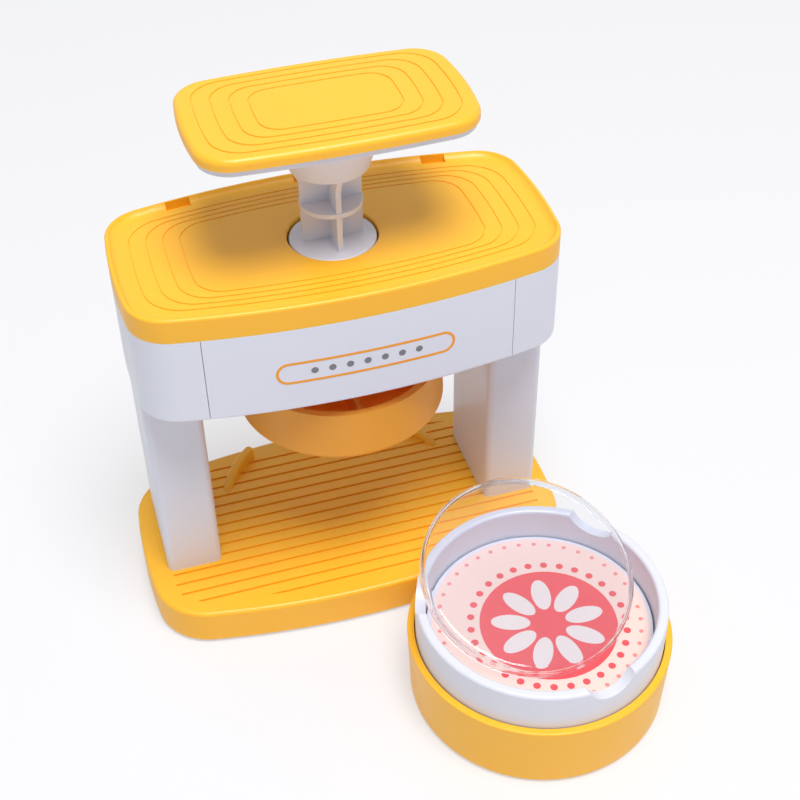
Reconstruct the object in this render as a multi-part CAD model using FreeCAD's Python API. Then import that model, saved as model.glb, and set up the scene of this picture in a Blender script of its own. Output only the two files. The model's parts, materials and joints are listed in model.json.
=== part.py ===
import FreeCAD, Part
import math
import os
from collections import namedtuple

# A hand press for round button badges: a base with two columns, a head with a sprung plunger,
# and a loose lower die that stands on the table in front of the press.
# Millimetres, Z up. The origin is on the plunger axis at table level, and the front faces -Y.

V = FreeCAD.Vector
UP = V(0, 0, 1)
Outline = namedtuple("Outline", "half_x half_y bow_long bow_short corner")

# Clearances
SEAM_GAP = 0.15
NEST_GAP = 0.2
SLIDE_GAP = 0.3
RUNNING_FIT = 0.06
SCREW_PLAY = 0.1
OVERSHOOT = 1.0
BOSS_MARGIN = 1.0

# Badge, which sets the sizes of both dies
BADGE_R = 29.0
PAPER_MARGIN = 0.3
PAPER_T = 0.3
CLEAR_T = 0.8
CLEAR_SKIRT = 3.6
CLEAR_CROWN = 0.8
CLEAR_LEAN_OFFSET = 8.0
CLEAR_LEAN_HEADING = -80.3

# Plan outlines with bowed sides
HEAD = Outline(58.0, 30.4, 249.0, 143.0, 11.8)
BASE = Outline(62.7, 35.3, 249.0, 143.0, 16.5)
HANDLE = Outline(36.2, 21.6, 407.0, 95.5, 9.7)

# Base
FOOT_R = 5.0
FOOT_H = 1.2
FOOT_X = 44.0
FOOT_Y = 22.0
BASE_TOP = 12.0
BASE_WALL = 2.4
DECK_T = 2.6
BASE_EDGE_R = 1.2
PLATE_T = 2.4
BASE_SCREW_X = 30.0
BASE_SCREW_Y = 24.0
DECK_GROOVE_PITCH = 4.0
DECK_GROOVE_W = 0.9
DECK_GROOVE_D = 0.7
DECK_GROOVE_SHIFT = -0.75
DECK_GROOVE_HALF_L = 55.9
DECK_RIM = 5.0
STOP_H = 4.0
STOP_T = 2.8
STOP_PLAY = 1.6
STOP_EDGE_R = 0.8
STOP_REAR_ANGLE = 53.0
STOP_FRONT_ANGLE = 26.0

# Columns and head
WALL = 2.2
COLUMN_INNER_X = 41.0
COLUMN_OUTER_X = 56.8
COLUMN_FRONT_Y = -11.0
COLUMN_REAR_Y = 23.0
COLUMN_FRONT_R = 2.0
COLUMN_REAR_R = 4.5
COLUMN_INNER_R = 0.4
COLUMN_SPLIT_Y = 11.5
COLUMN_FLOOR_T = 2.4
FOOT_BOSS_H = 10.0
HEAD_BOTTOM = 80.4
HEAD_TOP = 106.1
HEAD_FLOOR_T = 2.4
HEAD_EDGE_R = 0.8
REAR_SCREW_LOW = 18.0
REAR_SCREW_HIGH = 50.0

# Top cover
COVER_H = 6.9
COVER_EDGE_R = 0.8
COVER_DISH_D = 1.45
COVER_DISH_IN = 0.6
COVER_DISH_R = 3.0
COVER_SKIN_T = 2.0
COVER_LIP_H = 3.0
COVER_LIP_T = 1.5
HOLE_R = 12.0
HOLE_EDGE_R = 0.6
WINDOW_W = 6.7
WINDOW_REAR_WALL = 1.0
WINDOW_L = 2.2
WINDOW_D = 2.6
WINDOW_PITCH = 36.0
COVER_POST_X = 32.0
COVER_POST_Y = 17.0

# Stepped grooves on the cover and the handle pad
GROOVE_COUNT = 4
GROOVE_W = 0.45
GROOVE_D = 0.3
COVER_GROOVE_IN_X = 6.0
COVER_GROOVE_IN_Y = 5.9
COVER_GROOVE_STEP_X = 4.4
COVER_GROOVE_STEP_Y = 2.1
PAD_GROOVE_IN_X = 4.4
PAD_GROOVE_IN_Y = 3.1
PAD_GROOVE_STEP_X = 4.53
PAD_GROOVE_STEP_Y = 2.7

# Plunger, handle and upper die
STROKE = 21.0
UPPER_DIE_BOTTOM = 58.0
UPPER_DIE_H = 15.0
UPPER_DIE_MARGIN = 0.2
UPPER_DIE_TAPER = 0.7
UPPER_DIE_WALL = 2.0
UPPER_DIE_FLOOR = 3.0
UPPER_DIE_EDGE_R = 1.5
UPPER_DIE_RIBS = 6
RIB_T = 1.4
HUB_R = 9.0
ROD_R = 5.5
ROD_SEAT_T = 1.5
PISTON_T = 2.0
PISTON_SINK = 0.55
PISTON_PLAY = 0.4
FIN_T = 1.4
FIN_HALF_W = 8.1
GUSSET_H = 4.1
MID_DISC_R = 8.3
MID_DISC_T = 1.2
MID_DISC_RISE = 10.3
COLLAR_RISE = 21.9
COLLAR_R = 10.4
COLLAR_TOP_R = 14.6
COLLAR_H = 12.7
HANDLE_PLATE_T = 1.7
HANDLE_PLATE_INSET = 0.8
PAD_T = 3.0
PAD_EDGE_R = 1.6
PEG_R = 3.4
PEG_H = 9.0
HANDLE_SCREW_X = 26.0
HANDLE_SCREW_Y = 12.0

# Plunger guide and return spring
GUIDE_WALL = 2.3
GUIDE_FLOOR_T = 2.4
GUIDE_FLANGE_W = 6.0
GUIDE_FLANGE_T = 2.2
GUIDE_SCREWS = 3
SPRING_WIRE_R = 0.6
SPRING_MEAN_R = 8.6
SPRING_TURNS = 8
SPRING_SPARE = 4.0

# Lower die
DIE_X = 34.8
DIE_GAP_TO_BASE = 1.0
DIE_CUP_FLARE = 0.8
DIE_CUP_H = 21.6
DIE_CUP_WALL = 1.9
DIE_CUP_FLOOR = 2.4
DIE_CUP_EDGE_R = 1.8
DIE_RING_TOP = 33.6
DIE_RING_WALL = 2.8
DIE_RING_FLANGE_W = 9.5
DIE_RING_FLANGE_T = 2.4
DIE_RING_SINK = 4.0
DIE_RING_EDGE_R = 0.9
DIE_CORE_TOP = 23.8
DIE_CORE_MARGIN = 1.1
DIE_CORE_T = 2.4
DIE_CORE_SKIRT_T = 2.2
DIE_CORE_PLAY = 0.4
DIE_HUB_R = 8.0
DIE_SPRINGS = 3
DIE_SPRING_WIRE_R = 0.3
DIE_SPRING_MEAN_R = 2.6
DIE_SPRING_TURNS = 4
DIE_SPRING_PEG_H = 1.6
NOTCH_COUNT = 3
NOTCH_R = 7.4
NOTCH_D = 4.6
NOTCH_HEADING = -79.0

# Screws
SCREW_R = 1.25
SCREW_HEAD_R = 2.5
SCREW_HEAD_H = 1.8
FLAT_HEAD_H = 1.2
FLAT_HEAD_SINK = 0.2
SCREW_SLOT_HALF_L = 1.0
SCREW_SLOT_HALF_W = 0.3
BOSS_R = 3.0
SCREW_BITE = 6.5

# Heights and places that follow from the sizes above
FLAT_SEAT = FLAT_HEAD_H + FLAT_HEAD_SINK
PLATE_TOP = FOOT_H + PLATE_T
DECK_UNDER = BASE_TOP - DECK_T
END_FLOOR_TOP = HEAD_BOTTOM + WALL
FLOOR_TOP = END_FLOOR_TOP + HEAD_FLOOR_T
COVER_TOP = HEAD_TOP + COVER_H
COVER_DECK = COVER_TOP - COVER_DISH_D
COVER_UNDER = COVER_DECK - COVER_SKIN_T
PISTON_TOP = COVER_DECK - PISTON_SINK
PISTON_UNDER = PISTON_TOP - PISTON_T
PISTON_R = HOLE_R - PISTON_PLAY
COLLAR_BOTTOM = PISTON_TOP + COLLAR_RISE
PLATE_UNDER = COLLAR_BOTTOM + COLLAR_H
PAD_UNDER = PLATE_UNDER + HANDLE_PLATE_T
PAD_TOP = PAD_UNDER + PAD_T
GUIDE_BORE_R = HOLE_R
GUIDE_R = GUIDE_BORE_R + GUIDE_WALL
GUIDE_FLOOR_TOP = PISTON_UNDER - STROKE - SPRING_TURNS * 2 * SPRING_WIRE_R - SPRING_SPARE
GUIDE_BOTTOM = GUIDE_FLOOR_TOP - GUIDE_FLOOR_T
GUIDE_TOP = HEAD_TOP - COVER_LIP_H
HUB_TOP = GUIDE_BOTTOM - SLIDE_GAP
UPPER_FLOOR_TOP = UPPER_DIE_BOTTOM + UPPER_DIE_FLOOR
ROD_BOTTOM = UPPER_FLOOR_TOP + ROD_SEAT_T
COLUMN_MID_X = (COLUMN_INNER_X + COLUMN_OUTER_X) / 2
PAPER_R = BADGE_R + PAPER_MARGIN
UPPER_DIE_R = BADGE_R + UPPER_DIE_MARGIN
DIE_CORE_R = PAPER_R + DIE_CORE_MARGIN
DIE_BORE_R = DIE_CORE_R + DIE_CORE_PLAY
DIE_RING_R = DIE_BORE_R + DIE_RING_WALL
DIE_CUP_TOP_R = DIE_RING_R + SLIDE_GAP + DIE_CUP_WALL
DIE_CUP_BOTTOM_R = DIE_CUP_TOP_R - DIE_CUP_FLARE
STOP_R = DIE_CUP_BOTTOM_R + STOP_PLAY
DIE_RING_BOTTOM = DIE_CUP_FLOOR + DIE_SPRING_PEG_H + DIE_RING_SINK + DIE_RING_FLANGE_T
DIE_FLANGE_TOP = DIE_RING_BOTTOM + DIE_RING_FLANGE_T
DIE_SPRING_R = DIE_RING_R - DIE_RING_FLANGE_W / 2
PAPER_TOP = DIE_CORE_TOP + PAPER_T
BASE_BOW_Y = BASE.bow_long - BASE.half_y
DIE_REACH = BASE.bow_long + DIE_CUP_TOP_R + DIE_GAP_TO_BASE
DIE_Y = BASE_BOW_Y - math.sqrt(DIE_REACH ** 2 - DIE_X ** 2)


def sag(radius, half_chord):
    return radius - math.sqrt(radius ** 2 - half_chord ** 2)


def grown(outline, dx, dy, corner_change):
    return outline._replace(half_x=outline.half_x + dx, half_y=outline.half_y + dy,
                            corner=outline.corner + corner_change)


# A prism over a rectangle with bowed sides and round corners, drawn in from the outline by inset
def bowed(outline, z0, z1, inset=0.0):
    half_x = outline.half_x - inset
    half_y = outline.half_y - inset
    x, y = half_x, half_y
    for _ in range(40):
        y = half_y - sag(outline.bow_long - inset, x)
        x = half_x - sag(outline.bow_short - inset, y)
    sides = [
        Part.Arc(V(-x, -y, z0), V(0, -half_y, z0), V(x, -y, z0)),
        Part.Arc(V(x, -y, z0), V(half_x, 0, z0), V(x, y, z0)),
        Part.Arc(V(x, y, z0), V(0, half_y, z0), V(-x, y, z0)),
        Part.Arc(V(-x, y, z0), V(-half_x, 0, z0), V(-x, -y, z0)),
    ]
    face = Part.Face(Part.Wire([side.toShape() for side in sides]))
    prism = face.extrude(V(0, 0, z1 - z0))
    uprights = [edge for edge in prism.Edges if is_upright(edge)]
    return prism.makeFillet(outline.corner - inset, uprights)


def is_upright(edge):
    box = edge.BoundBox
    return box.XLength < 1e-6 and box.YLength < 1e-6


def edges_at(shape, z):
    return [edge for edge in shape.Edges
            if abs(edge.BoundBox.ZMin - z) < 1e-5 and abs(edge.BoundBox.ZMax - z) < 1e-5]


def rounded(shape, radius, z):
    return shape.makeFillet(radius, edges_at(shape, z))


def block(x0, x1, y0, y1, z0, z1):
    return Part.makeBox(x1 - x0, y1 - y0, z1 - z0, V(x0, y0, z0))


def drum(radius, z0, z1, x=0.0, y=0.0):
    return Part.makeCylinder(radius, z1 - z0, V(x, y, z0))


def tube(outer_r, inner_r, z0, z1, x=0.0, y=0.0):
    return drum(outer_r, z0, z1, x, y).cut(drum(inner_r, z0, z1, x, y))


def placed(shape, at, direction):
    moved = shape.copy()
    moved.Placement = FreeCAD.Placement(at, FreeCAD.Rotation(UP, direction))
    return moved


def turned(shape, degrees, x=0.0, y=0.0):
    copy = shape.copy()
    copy.rotate(V(x, y, 0), UP, degrees)
    return copy


def mirrored(shape):
    return shape.mirror(V(0, 0, 0), V(1, 0, 0))


def four(x, y):
    return [(sx * x, sy * y) for sx in (-1, 1) for sy in (-1, 1)]


# A screw whose head seats on the plane through at, with its shank along direction
def screw(at, direction, length, head_h=SCREW_HEAD_H):
    head = drum(SCREW_HEAD_R, -head_h, 0)
    cross = block(-SCREW_SLOT_HALF_L, SCREW_SLOT_HALF_L, -SCREW_SLOT_HALF_W, SCREW_SLOT_HALF_W,
                  -head_h, -head_h / 2)
    cross = cross.fuse(turned(cross, 90))
    shank = drum(SCREW_R, 0, length)
    return placed(head.fuse(shank).cut(cross), at, direction)


def screw_hole(at, direction, length):
    return placed(drum(SCREW_R + SCREW_PLAY, 0, length), at, direction)


def head_recess(at, direction, depth):
    return placed(drum(SCREW_HEAD_R + SLIDE_GAP, -depth, 0), at, direction)


# Tangent arcs through a pair of points with given directions there
def biarc(p0, t0, p1, t1):
    span = p1 - p0
    total = t0 + t1
    spread = 2 * (1 - t0.dot(t1))
    along = span.dot(total)
    reach = (-along + math.sqrt(along ** 2 + spread * span.dot(span))) / spread
    joint = (p0 + p1 + (t0 - t1) * reach) * 0.5
    return [arc_from(p0, t0, joint), arc_from(p1, t1 * -1, joint)]


def arc_from(start, tangent, end):
    chord = end - start
    along = V(chord).normalize()
    side = tangent - along * tangent.dot(along)
    rise = chord.Length / 2 * math.tan(tangent.getAngle(along) / 2)
    middle = start + chord * 0.5 + side.normalize() * rise
    return Part.Arc(start, middle, end).toShape()


# A round-wire compression spring standing between z0 and z1
def coil(mean_r, wire_r, turns, z0, z1, x=0.0, y=0.0):
    quarters = turns * 4
    pitch = (z1 - z0 - 2 * wire_r) / turns
    rise = pitch / (2 * math.pi)
    points = []
    tangents = []
    for i in range(quarters + 1):
        a = i * math.pi / 2
        points.append(V(x + mean_r * math.cos(a), y + mean_r * math.sin(a), z0 + wire_r + rise * a))
        tangents.append(V(-mean_r * math.sin(a), mean_r * math.cos(a), rise).normalize())
    edges = []
    for i in range(quarters):
        first, second = biarc(points[i], tangents[i], points[i + 1], tangents[i + 1])
        edges += [first, second]
    path = Part.Wire(Part.__sortEdges__(edges))
    section = Part.Wire([Part.Circle(points[0], tangents[0], wire_r).toShape()])
    print("spring: turn gap", round(pitch - 2 * wire_r, 2), "mm over", turns, "turns")
    return path.makePipeShell([section], True, False)


# Concentric grooves that follow an outline
def stepped_grooves(outline, in_x, in_y, step_x, step_y, z):
    cuts = []
    for i in range(GROOVE_COUNT):
        line = grown(outline, -in_x - i * step_x, -in_y - i * step_y, -1.0 - i)
        inner = bowed(line, z - GROOVE_D, z + OVERSHOOT, GROOVE_W / 2)
        cuts.append(bowed(line, z - GROOVE_D, z + OVERSHOOT, -GROOVE_W / 2).cut(inner))
    return cuts


# Base

def base_screw_places():
    return four(BASE_SCREW_X, BASE_SCREW_Y)


def column_screw_ys():
    return (COLUMN_FRONT_Y + WALL + BOSS_R, COLUMN_SPLIT_Y - BOSS_R - BOSS_MARGIN)


def deck_grooves():
    rim = bowed(BASE, BASE_TOP - DECK_GROOVE_D, BASE_TOP + OVERSHOOT, DECK_RIM)
    reach = int((BASE.half_y - DECK_RIM) / DECK_GROOVE_PITCH)
    strips = []
    for i in range(-reach, reach + 1):
        y = DECK_GROOVE_SHIFT + i * DECK_GROOVE_PITCH
        strips.append(block(-DECK_GROOVE_HALF_L, DECK_GROOVE_HALF_L, y - DECK_GROOVE_W / 2,
                            y + DECK_GROOVE_W / 2, BASE_TOP - DECK_GROOVE_D, BASE_TOP + OVERSHOOT))
    return Part.makeCompound(strips).common(rim)


# A curved stop behind the die, with a rounded back that sinks into the deck at the front
def die_stop():
    low = BASE_TOP - DECK_T / 2
    high = BASE_TOP + STOP_H
    tip_a = math.radians(STOP_FRONT_ANGLE)
    rear_a = math.radians(STOP_REAR_ANGLE)
    sweep = STOP_REAR_ANGLE - STOP_FRONT_ANGLE
    outer = Part.makeCylinder(STOP_R + STOP_T, high - low, V(0, 0, low), UP, sweep)
    wall = outer.cut(drum(STOP_R, low, high))
    wall.rotate(V(0, 0, 0), UP, STOP_FRONT_ANGLE)
    middle_r = STOP_R + STOP_T / 2
    tip = V(middle_r * math.cos(tip_a), middle_r * math.sin(tip_a), BASE_TOP)
    rear = V(middle_r * math.cos(rear_a), middle_r * math.sin(rear_a), BASE_TOP)
    chord = rear - tip
    crest_r = (chord.Length ** 2 + STOP_H ** 2) / (2 * STOP_H)
    across = V(chord.y, -chord.x, 0).normalize()
    centre = V(rear.x, rear.y, high - crest_r)
    crest = Part.makeCylinder(crest_r, 2 * STOP_R, centre - across * STOP_R, across)
    wall = wall.common(crest)
    rear_edges = [edge for edge in wall.Edges if is_upright(edge) and edge.BoundBox.YMin > rear.y - STOP_T]
    wall = wall.makeFillet(STOP_T * 0.4, rear_edges)
    tops = [edge for edge in wall.Edges if edge.BoundBox.ZMax > high - STOP_EDGE_R and not is_upright(edge)]
    return wall.makeFillet(STOP_EDGE_R, tops)


def base_tray():
    tray = rounded(bowed(BASE, FOOT_H, BASE_TOP), BASE_EDGE_R, BASE_TOP)
    tray = tray.cut(bowed(BASE, FOOT_H, DECK_UNDER, BASE_WALL))
    tray = tray.cut(deck_grooves())
    bosses = [drum(BOSS_R, PLATE_TOP, DECK_UNDER, x, y) for x, y in base_screw_places()]
    stop = die_stop()
    tray = tray.fuse(bosses + [stop, mirrored(stop)])
    holes = [screw_hole(V(x, y, FOOT_H), UP, SCREW_BITE + PLATE_T) for x, y in base_screw_places()]
    for sx in (-1, 1):
        holes += [screw_hole(V(sx * COLUMN_MID_X, y, DECK_UNDER), UP, DECK_T) for y in column_screw_ys()]
    return tray.cut(holes)


def base_bottom_plate():
    plate = bowed(BASE, FOOT_H, PLATE_TOP, BASE_WALL + NEST_GAP)
    for x, y in base_screw_places():
        seat = V(x, y, FOOT_H + FLAT_SEAT)
        plate = plate.cut([head_recess(seat, UP, FLAT_SEAT), screw_hole(seat, UP, PLATE_T)])
    return plate


def base_feet():
    feet = [Part.makeCone(FOOT_R - FOOT_H / 2, FOOT_R, FOOT_H, V(x, y, 0)) for x, y in four(FOOT_X, FOOT_Y)]
    return Part.makeCompound(feet)


def base_screws():
    seats = [V(x, y, FOOT_H + FLAT_SEAT) for x, y in base_screw_places()]
    length = SCREW_BITE + PLATE_T - FLAT_SEAT - SLIDE_GAP
    return Part.makeCompound([screw(seat, UP, length, FLAT_HEAD_H) for seat in seats])


# Columns and head

def column_prism(z0, z1, inset=0.0):
    prism = block(-COLUMN_OUTER_X + inset, -COLUMN_INNER_X - inset,
                  COLUMN_FRONT_Y + inset, COLUMN_REAR_Y - inset, z0, z1)
    for radius, y in ((COLUMN_FRONT_R, COLUMN_FRONT_Y + inset), (COLUMN_REAR_R, COLUMN_REAR_Y - inset)):
        corners = [e for e in prism.Edges if is_upright(e) and abs(e.BoundBox.YMin - y) < 1e-5]
        prism = prism.makeFillet(max(radius - inset, COLUMN_INNER_R), corners)
    return prism


def rear_screw_seats():
    y = COLUMN_REAR_Y - WALL - SCREW_HEAD_H
    return [V(-COLUMN_MID_X, y, BASE_TOP + rise) for rise in (REAR_SCREW_LOW, REAR_SCREW_HIGH)]


def frame_screw_seats():
    return [V(-COLUMN_MID_X, y, FLOOR_TOP) for y in column_screw_ys()]


# The left column's front shell in one with the left end of the head
def left_side_frame():
    ends = bowed(HEAD, HEAD_BOTTOM, HEAD_TOP)
    ends = rounded(ends, HEAD_EDGE_R, HEAD_BOTTOM)
    ends = ends.cut(bowed(HEAD, END_FLOOR_TOP, HEAD_TOP, WALL))
    ends = ends.common(block(-HEAD.half_x, -COLUMN_INNER_X, -HEAD.half_y, HEAD.half_y,
                             HEAD_BOTTOM, HEAD_TOP))
    column = column_prism(BASE_TOP, HEAD_BOTTOM)
    column = column.cut(column_prism(BASE_TOP + COLUMN_FLOOR_T, HEAD_BOTTOM, WALL))
    column = column.common(block(-COLUMN_OUTER_X, 0, COLUMN_FRONT_Y, COLUMN_SPLIT_Y, BASE_TOP, HEAD_BOTTOM))
    posts = [drum(BOSS_R, BASE_TOP, BASE_TOP + FOOT_BOSS_H, -COLUMN_MID_X, y) for y in column_screw_ys()]
    hang = HEAD_BOTTOM - FOOT_BOSS_H
    posts += [drum(BOSS_R, hang, END_FLOOR_TOP, -COLUMN_MID_X, y) for y in column_screw_ys()]
    back = V(0, -1, 0)
    depth = COLUMN_SPLIT_Y - COLUMN_FRONT_Y - WALL / 2
    for seat in rear_screw_seats():
        posts.append(placed(drum(BOSS_R, 0, depth), V(seat.x, COLUMN_SPLIT_Y, seat.z), back))
    frame = ends.fuse([column] + posts)
    rear_bite = SCREW_BITE + COLUMN_REAR_Y - COLUMN_SPLIT_Y
    holes = [screw_hole(seat, back, rear_bite) for seat in rear_screw_seats()]
    holes += [screw_hole(V(-COLUMN_MID_X, y, BASE_TOP), UP, SCREW_BITE) for y in column_screw_ys()]
    holes += [screw_hole(seat, UP * -1, SCREW_BITE + HEAD_FLOOR_T) for seat in frame_screw_seats()]
    return frame.cut(holes)


def left_column_rear_cover():
    low = BASE_TOP + SEAM_GAP
    high = HEAD_BOTTOM - SEAM_GAP
    cover = column_prism(low, high).cut(column_prism(low + COLUMN_FLOOR_T, high - WALL, WALL))
    cover = cover.common(block(-COLUMN_OUTER_X, 0, COLUMN_SPLIT_Y + SEAM_GAP, COLUMN_REAR_Y, low, high))
    back = V(0, -1, 0)
    for seat in rear_screw_seats():
        boss_r = SCREW_HEAD_R + SLIDE_GAP + WALL / 2
        length = COLUMN_REAR_Y - WALL / 2 - COLUMN_SPLIT_Y - SEAM_GAP
        root = V(seat.x, COLUMN_REAR_Y - WALL / 2, seat.z)
        cover = cover.fuse(placed(drum(boss_r, 0, length), root, back))
        cover = cover.cut([head_recess(seat, back, SCREW_HEAD_H + WALL + OVERSHOOT),
                           screw_hole(seat, back, COLUMN_REAR_Y - COLUMN_SPLIT_Y)])
    return cover


def column_rear_screws():
    length = COLUMN_REAR_Y - WALL - SCREW_HEAD_H - COLUMN_SPLIT_Y + SCREW_BITE
    left = [screw(seat, V(0, -1, 0), length) for seat in rear_screw_seats()]
    return Part.makeCompound(left + [mirrored(one) for one in left])


def column_foot_screws():
    length = DECK_T + SCREW_BITE - SLIDE_GAP
    left = [screw(V(-COLUMN_MID_X, y, DECK_UNDER), UP, length) for y in column_screw_ys()]
    return Part.makeCompound(left + [mirrored(one) for one in left])


def head_panel(front):
    wall = bowed(HEAD, HEAD_BOTTOM, HEAD_TOP)
    wall = rounded(wall, HEAD_EDGE_R, HEAD_BOTTOM)
    wall = wall.cut(bowed(HEAD, HEAD_BOTTOM, HEAD_TOP, WALL))
    half = COLUMN_INNER_X - SEAM_GAP
    y0, y1 = (-HEAD.half_y, 0) if front else (0, HEAD.half_y)
    return wall.common(block(-half, half, y0, y1, HEAD_BOTTOM, HEAD_TOP))


def guide_screw_seats():
    radius = GUIDE_R + GUIDE_FLANGE_W / 2
    seats = []
    for i in range(GUIDE_SCREWS):
        a = 2 * math.pi * i / GUIDE_SCREWS
        seats.append(V(radius * math.cos(a), radius * math.sin(a), FLOOR_TOP + GUIDE_FLANGE_T))
    return seats


def cover_screw_seats():
    return [V(x, y, END_FLOOR_TOP) for x, y in four(COVER_POST_X, COVER_POST_Y)]


def head_floor():
    plate = bowed(HEAD, END_FLOOR_TOP, FLOOR_TOP, WALL + NEST_GAP)
    low = END_FLOOR_TOP - HEAD_FLOOR_T
    bosses = [drum(BOSS_R, low, END_FLOOR_TOP, s.x, s.y) for s in guide_screw_seats()]
    plate = plate.fuse(bosses)
    holes = [drum(GUIDE_R + NEST_GAP, low, FLOOR_TOP)]
    holes += [screw_hole(seat, UP * -1, GUIDE_FLANGE_T + 2 * HEAD_FLOOR_T) for seat in guide_screw_seats()]
    holes += [screw_hole(seat, UP, HEAD_FLOOR_T) for seat in cover_screw_seats()]
    for seat in frame_screw_seats():
        hole = screw_hole(seat, UP * -1, HEAD_FLOOR_T)
        holes += [hole, mirrored(hole)]
    return plate.cut(holes)


def head_floor_screws():
    left = [screw(seat, UP * -1, HEAD_FLOOR_T + SCREW_BITE - SLIDE_GAP) for seat in frame_screw_seats()]
    return Part.makeCompound(left + [mirrored(one) for one in left])


def plunger_guide():
    guide = tube(GUIDE_R, GUIDE_BORE_R, GUIDE_BOTTOM, GUIDE_TOP)
    flange = tube(GUIDE_R + GUIDE_FLANGE_W, GUIDE_BORE_R, FLOOR_TOP, FLOOR_TOP + GUIDE_FLANGE_T)
    guide = guide.fuse([drum(GUIDE_R, GUIDE_BOTTOM, GUIDE_FLOOR_TOP), flange])
    holes = [drum(ROD_R + RUNNING_FIT, GUIDE_BOTTOM, GUIDE_FLOOR_TOP)]
    holes += [screw_hole(seat, UP * -1, GUIDE_FLANGE_T) for seat in guide_screw_seats()]
    return guide.cut(holes)


def guide_screws():
    length = GUIDE_FLANGE_T + 2 * HEAD_FLOOR_T - SLIDE_GAP
    return Part.makeCompound([screw(seat, UP * -1, length) for seat in guide_screw_seats()])


def top_cover():
    cover = rounded(bowed(HEAD, HEAD_TOP, COVER_TOP), COVER_EDGE_R, COVER_TOP)
    dish = bowed(HEAD, COVER_DECK, COVER_TOP + 2 * COVER_DISH_R, COVER_DISH_IN)
    cover = cover.cut([rounded(dish, COVER_DISH_R, COVER_DECK), bowed(HEAD, HEAD_TOP, COVER_UNDER, WALL)])
    lip_r = WALL + NEST_GAP
    lip = bowed(HEAD, HEAD_TOP - COVER_LIP_H, HEAD_TOP + COVER_H / 2, lip_r)
    lip = lip.cut(bowed(HEAD, HEAD_TOP - COVER_LIP_H, HEAD_TOP + COVER_H / 2, lip_r + COVER_LIP_T))
    shelf = bowed(HEAD, HEAD_TOP, HEAD_TOP + COVER_LIP_T, WALL / 2).cut(
        bowed(HEAD, HEAD_TOP, HEAD_TOP + COVER_LIP_T, lip_r + COVER_LIP_T))
    posts = [drum(BOSS_R, FLOOR_TOP, COVER_UNDER, s.x, s.y) for s in cover_screw_seats()]
    cover = cover.fuse([lip, shelf] + posts)
    hole = drum(HOLE_R, HEAD_TOP, COVER_TOP + OVERSHOOT)
    cover = cover.cut(hole)
    rim = [e for e in edges_at(cover, COVER_DECK) if abs(e.BoundBox.XMax - HOLE_R) < 1e-4]
    cover = cover.makeFillet(HOLE_EDGE_R, rim)
    cuts = stepped_grooves(HEAD, COVER_GROOVE_IN_X, COVER_GROOVE_IN_Y, COVER_GROOVE_STEP_X,
                           COVER_GROOVE_STEP_Y, COVER_DECK)
    low = COVER_TOP - WINDOW_D
    high = COVER_TOP + OVERSHOOT
    band = bowed(HEAD, low, high, WINDOW_REAR_WALL)
    band = band.cut(bowed(HEAD, low, high, WINDOW_REAR_WALL + WINDOW_L))
    for i in (-1, 0, 1):
        x = i * WINDOW_PITCH
        cuts.append(band.common(block(x - WINDOW_W / 2, x + WINDOW_W / 2, 0, HEAD.half_y, low, high)))
    cuts += [screw_hole(seat, UP, HEAD_FLOOR_T + SCREW_BITE) for seat in cover_screw_seats()]
    return cover.cut(cuts)


def cover_screws():
    length = HEAD_FLOOR_T + SCREW_BITE - SLIDE_GAP
    return Part.makeCompound([screw(seat, UP, length) for seat in cover_screw_seats()])


# Plunger and handle

# A flat fin across the stem that widens into gussets under the collar
def stem_fin():
    tip = COLLAR_R - NEST_GAP
    right = [(FIN_HALF_W, PISTON_TOP), (FIN_HALF_W, COLLAR_BOTTOM - GUSSET_H), (tip, COLLAR_BOTTOM)]
    left = [(-x, z) for x, z in reversed(right)]
    corners = [V(x, -FIN_T / 2, z) for x, z in right + left]
    return Part.Face(Part.makePolygon(corners + corners[:1])).extrude(V(0, FIN_T, 0))


def plunger_stem():
    fin = stem_fin()
    disc_z = PISTON_TOP + MID_DISC_RISE
    pieces = [
        drum(ROD_R, ROD_BOTTOM, PISTON_UNDER),
        fin,
        turned(fin, 90),
        drum(MID_DISC_R, disc_z, disc_z + MID_DISC_T),
        drum(PEG_R, COLLAR_BOTTOM - PEG_R, COLLAR_BOTTOM + PEG_H),
    ]
    stem = rounded(drum(PISTON_R, PISTON_UNDER, PISTON_TOP), HOLE_EDGE_R, PISTON_TOP).fuse(pieces)
    top = V(0, 0, COLLAR_BOTTOM + PEG_H)
    return stem.cut([screw_hole(top, UP * -1, SCREW_BITE), screw_hole(V(0, 0, ROD_BOTTOM), UP, SCREW_BITE)])


def stem_screw_seat():
    return V(0, 0, PAD_UNDER - SCREW_HEAD_H)


def handle_screw_seats():
    return [V(x, y, PLATE_UNDER) for x, y in four(HANDLE_SCREW_X, HANDLE_SCREW_Y)]


def handle_base():
    plate = bowed(HANDLE, PLATE_UNDER, PAD_UNDER, HANDLE_PLATE_INSET)
    body = plate.fuse(Part.makeCone(COLLAR_R, COLLAR_TOP_R, COLLAR_H, V(0, 0, COLLAR_BOTTOM)))
    socket_top = COLLAR_BOTTOM + PEG_H
    seat = stem_screw_seat()
    cuts = [drum(PEG_R + SCREW_PLAY, COLLAR_BOTTOM, socket_top), head_recess(seat, UP * -1, SCREW_HEAD_H)]
    cuts.append(screw_hole(seat, UP * -1, seat.z - socket_top))
    cuts += [screw_hole(spot, UP, HANDLE_PLATE_T) for spot in handle_screw_seats()]
    return body.cut(cuts)


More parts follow.
